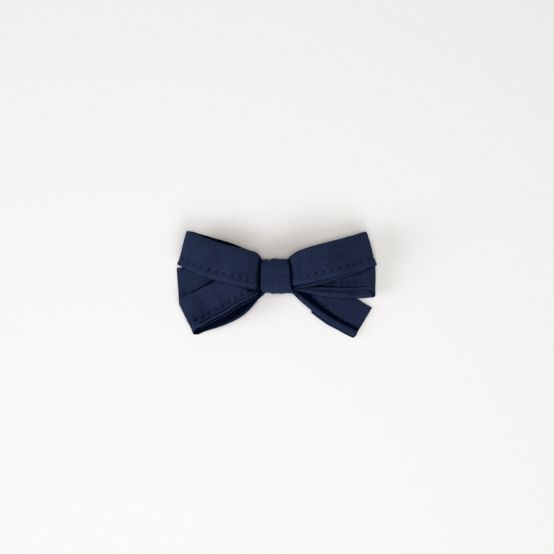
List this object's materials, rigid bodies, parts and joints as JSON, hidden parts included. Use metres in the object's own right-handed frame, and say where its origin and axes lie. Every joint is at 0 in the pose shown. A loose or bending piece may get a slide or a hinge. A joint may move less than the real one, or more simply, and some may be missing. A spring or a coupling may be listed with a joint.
{
  "type": "hair bow",
  "caption": "Folded cotton ribbon bow with loops, tails and a centre wrap, held on a sprung alligator hair clip.",
  "frame": {"origin": "centre of the bow's footprint, on the surface that it lies on face up", "axes": "+X along the bow's length towards its right tail, +Y towards its upper edge, +Z out of its front"},
  "size_m": [0.0901, 0.0483, 0.0186],
  "materials": {
    "cotton": "matt plain-woven cotton, navy",
    "thread": "matt spun thread, navy",
    "lining_ribbon": "ribbed grosgrain ribbon, navy",
    "clip_steel": "nickel-plated stamped steel",
    "spring_steel": "plated spring wire"
  },
  "bodies": {
    "bow": {"upper_left_loop": "cotton", "upper_right_loop": "cotton", "lower_left_loop": "cotton", "lower_right_loop": "cotton", "left_tail": "cotton", "right_tail": "cotton", "centre_wrap": "cotton", "upper_left_loop_topstitch": "thread", "upper_right_loop_topstitch": "thread", "lower_left_loop_topstitch": "thread", "lower_right_loop_topstitch": "thread", "left_tail_topstitch": "thread", "right_tail_topstitch": "thread", "gathering_thread": "thread", "wrap_closing_thread": "thread", "clip_upper_arm": "clip_steel", "hinge_pin": "clip_steel", "torsion_spring": "spring_steel", "clip_lining": "lining_ribbon"},
    "lower_arm": {"clip_lower_arm": "clip_steel"}
  },
  "joints": [
    {"name": "clip_hinge", "type": "hinge", "parent": "bow", "child": "lower_arm", "pos_m": [-0.011, 0.0035, 0.00325], "axis": [0, 1, 0], "range_deg": [0, 22], "stiffness_Nm_per_rad": 0.05, "springref_deg": -57.3, "deforming": ["torsion_spring"]}
  ]
}
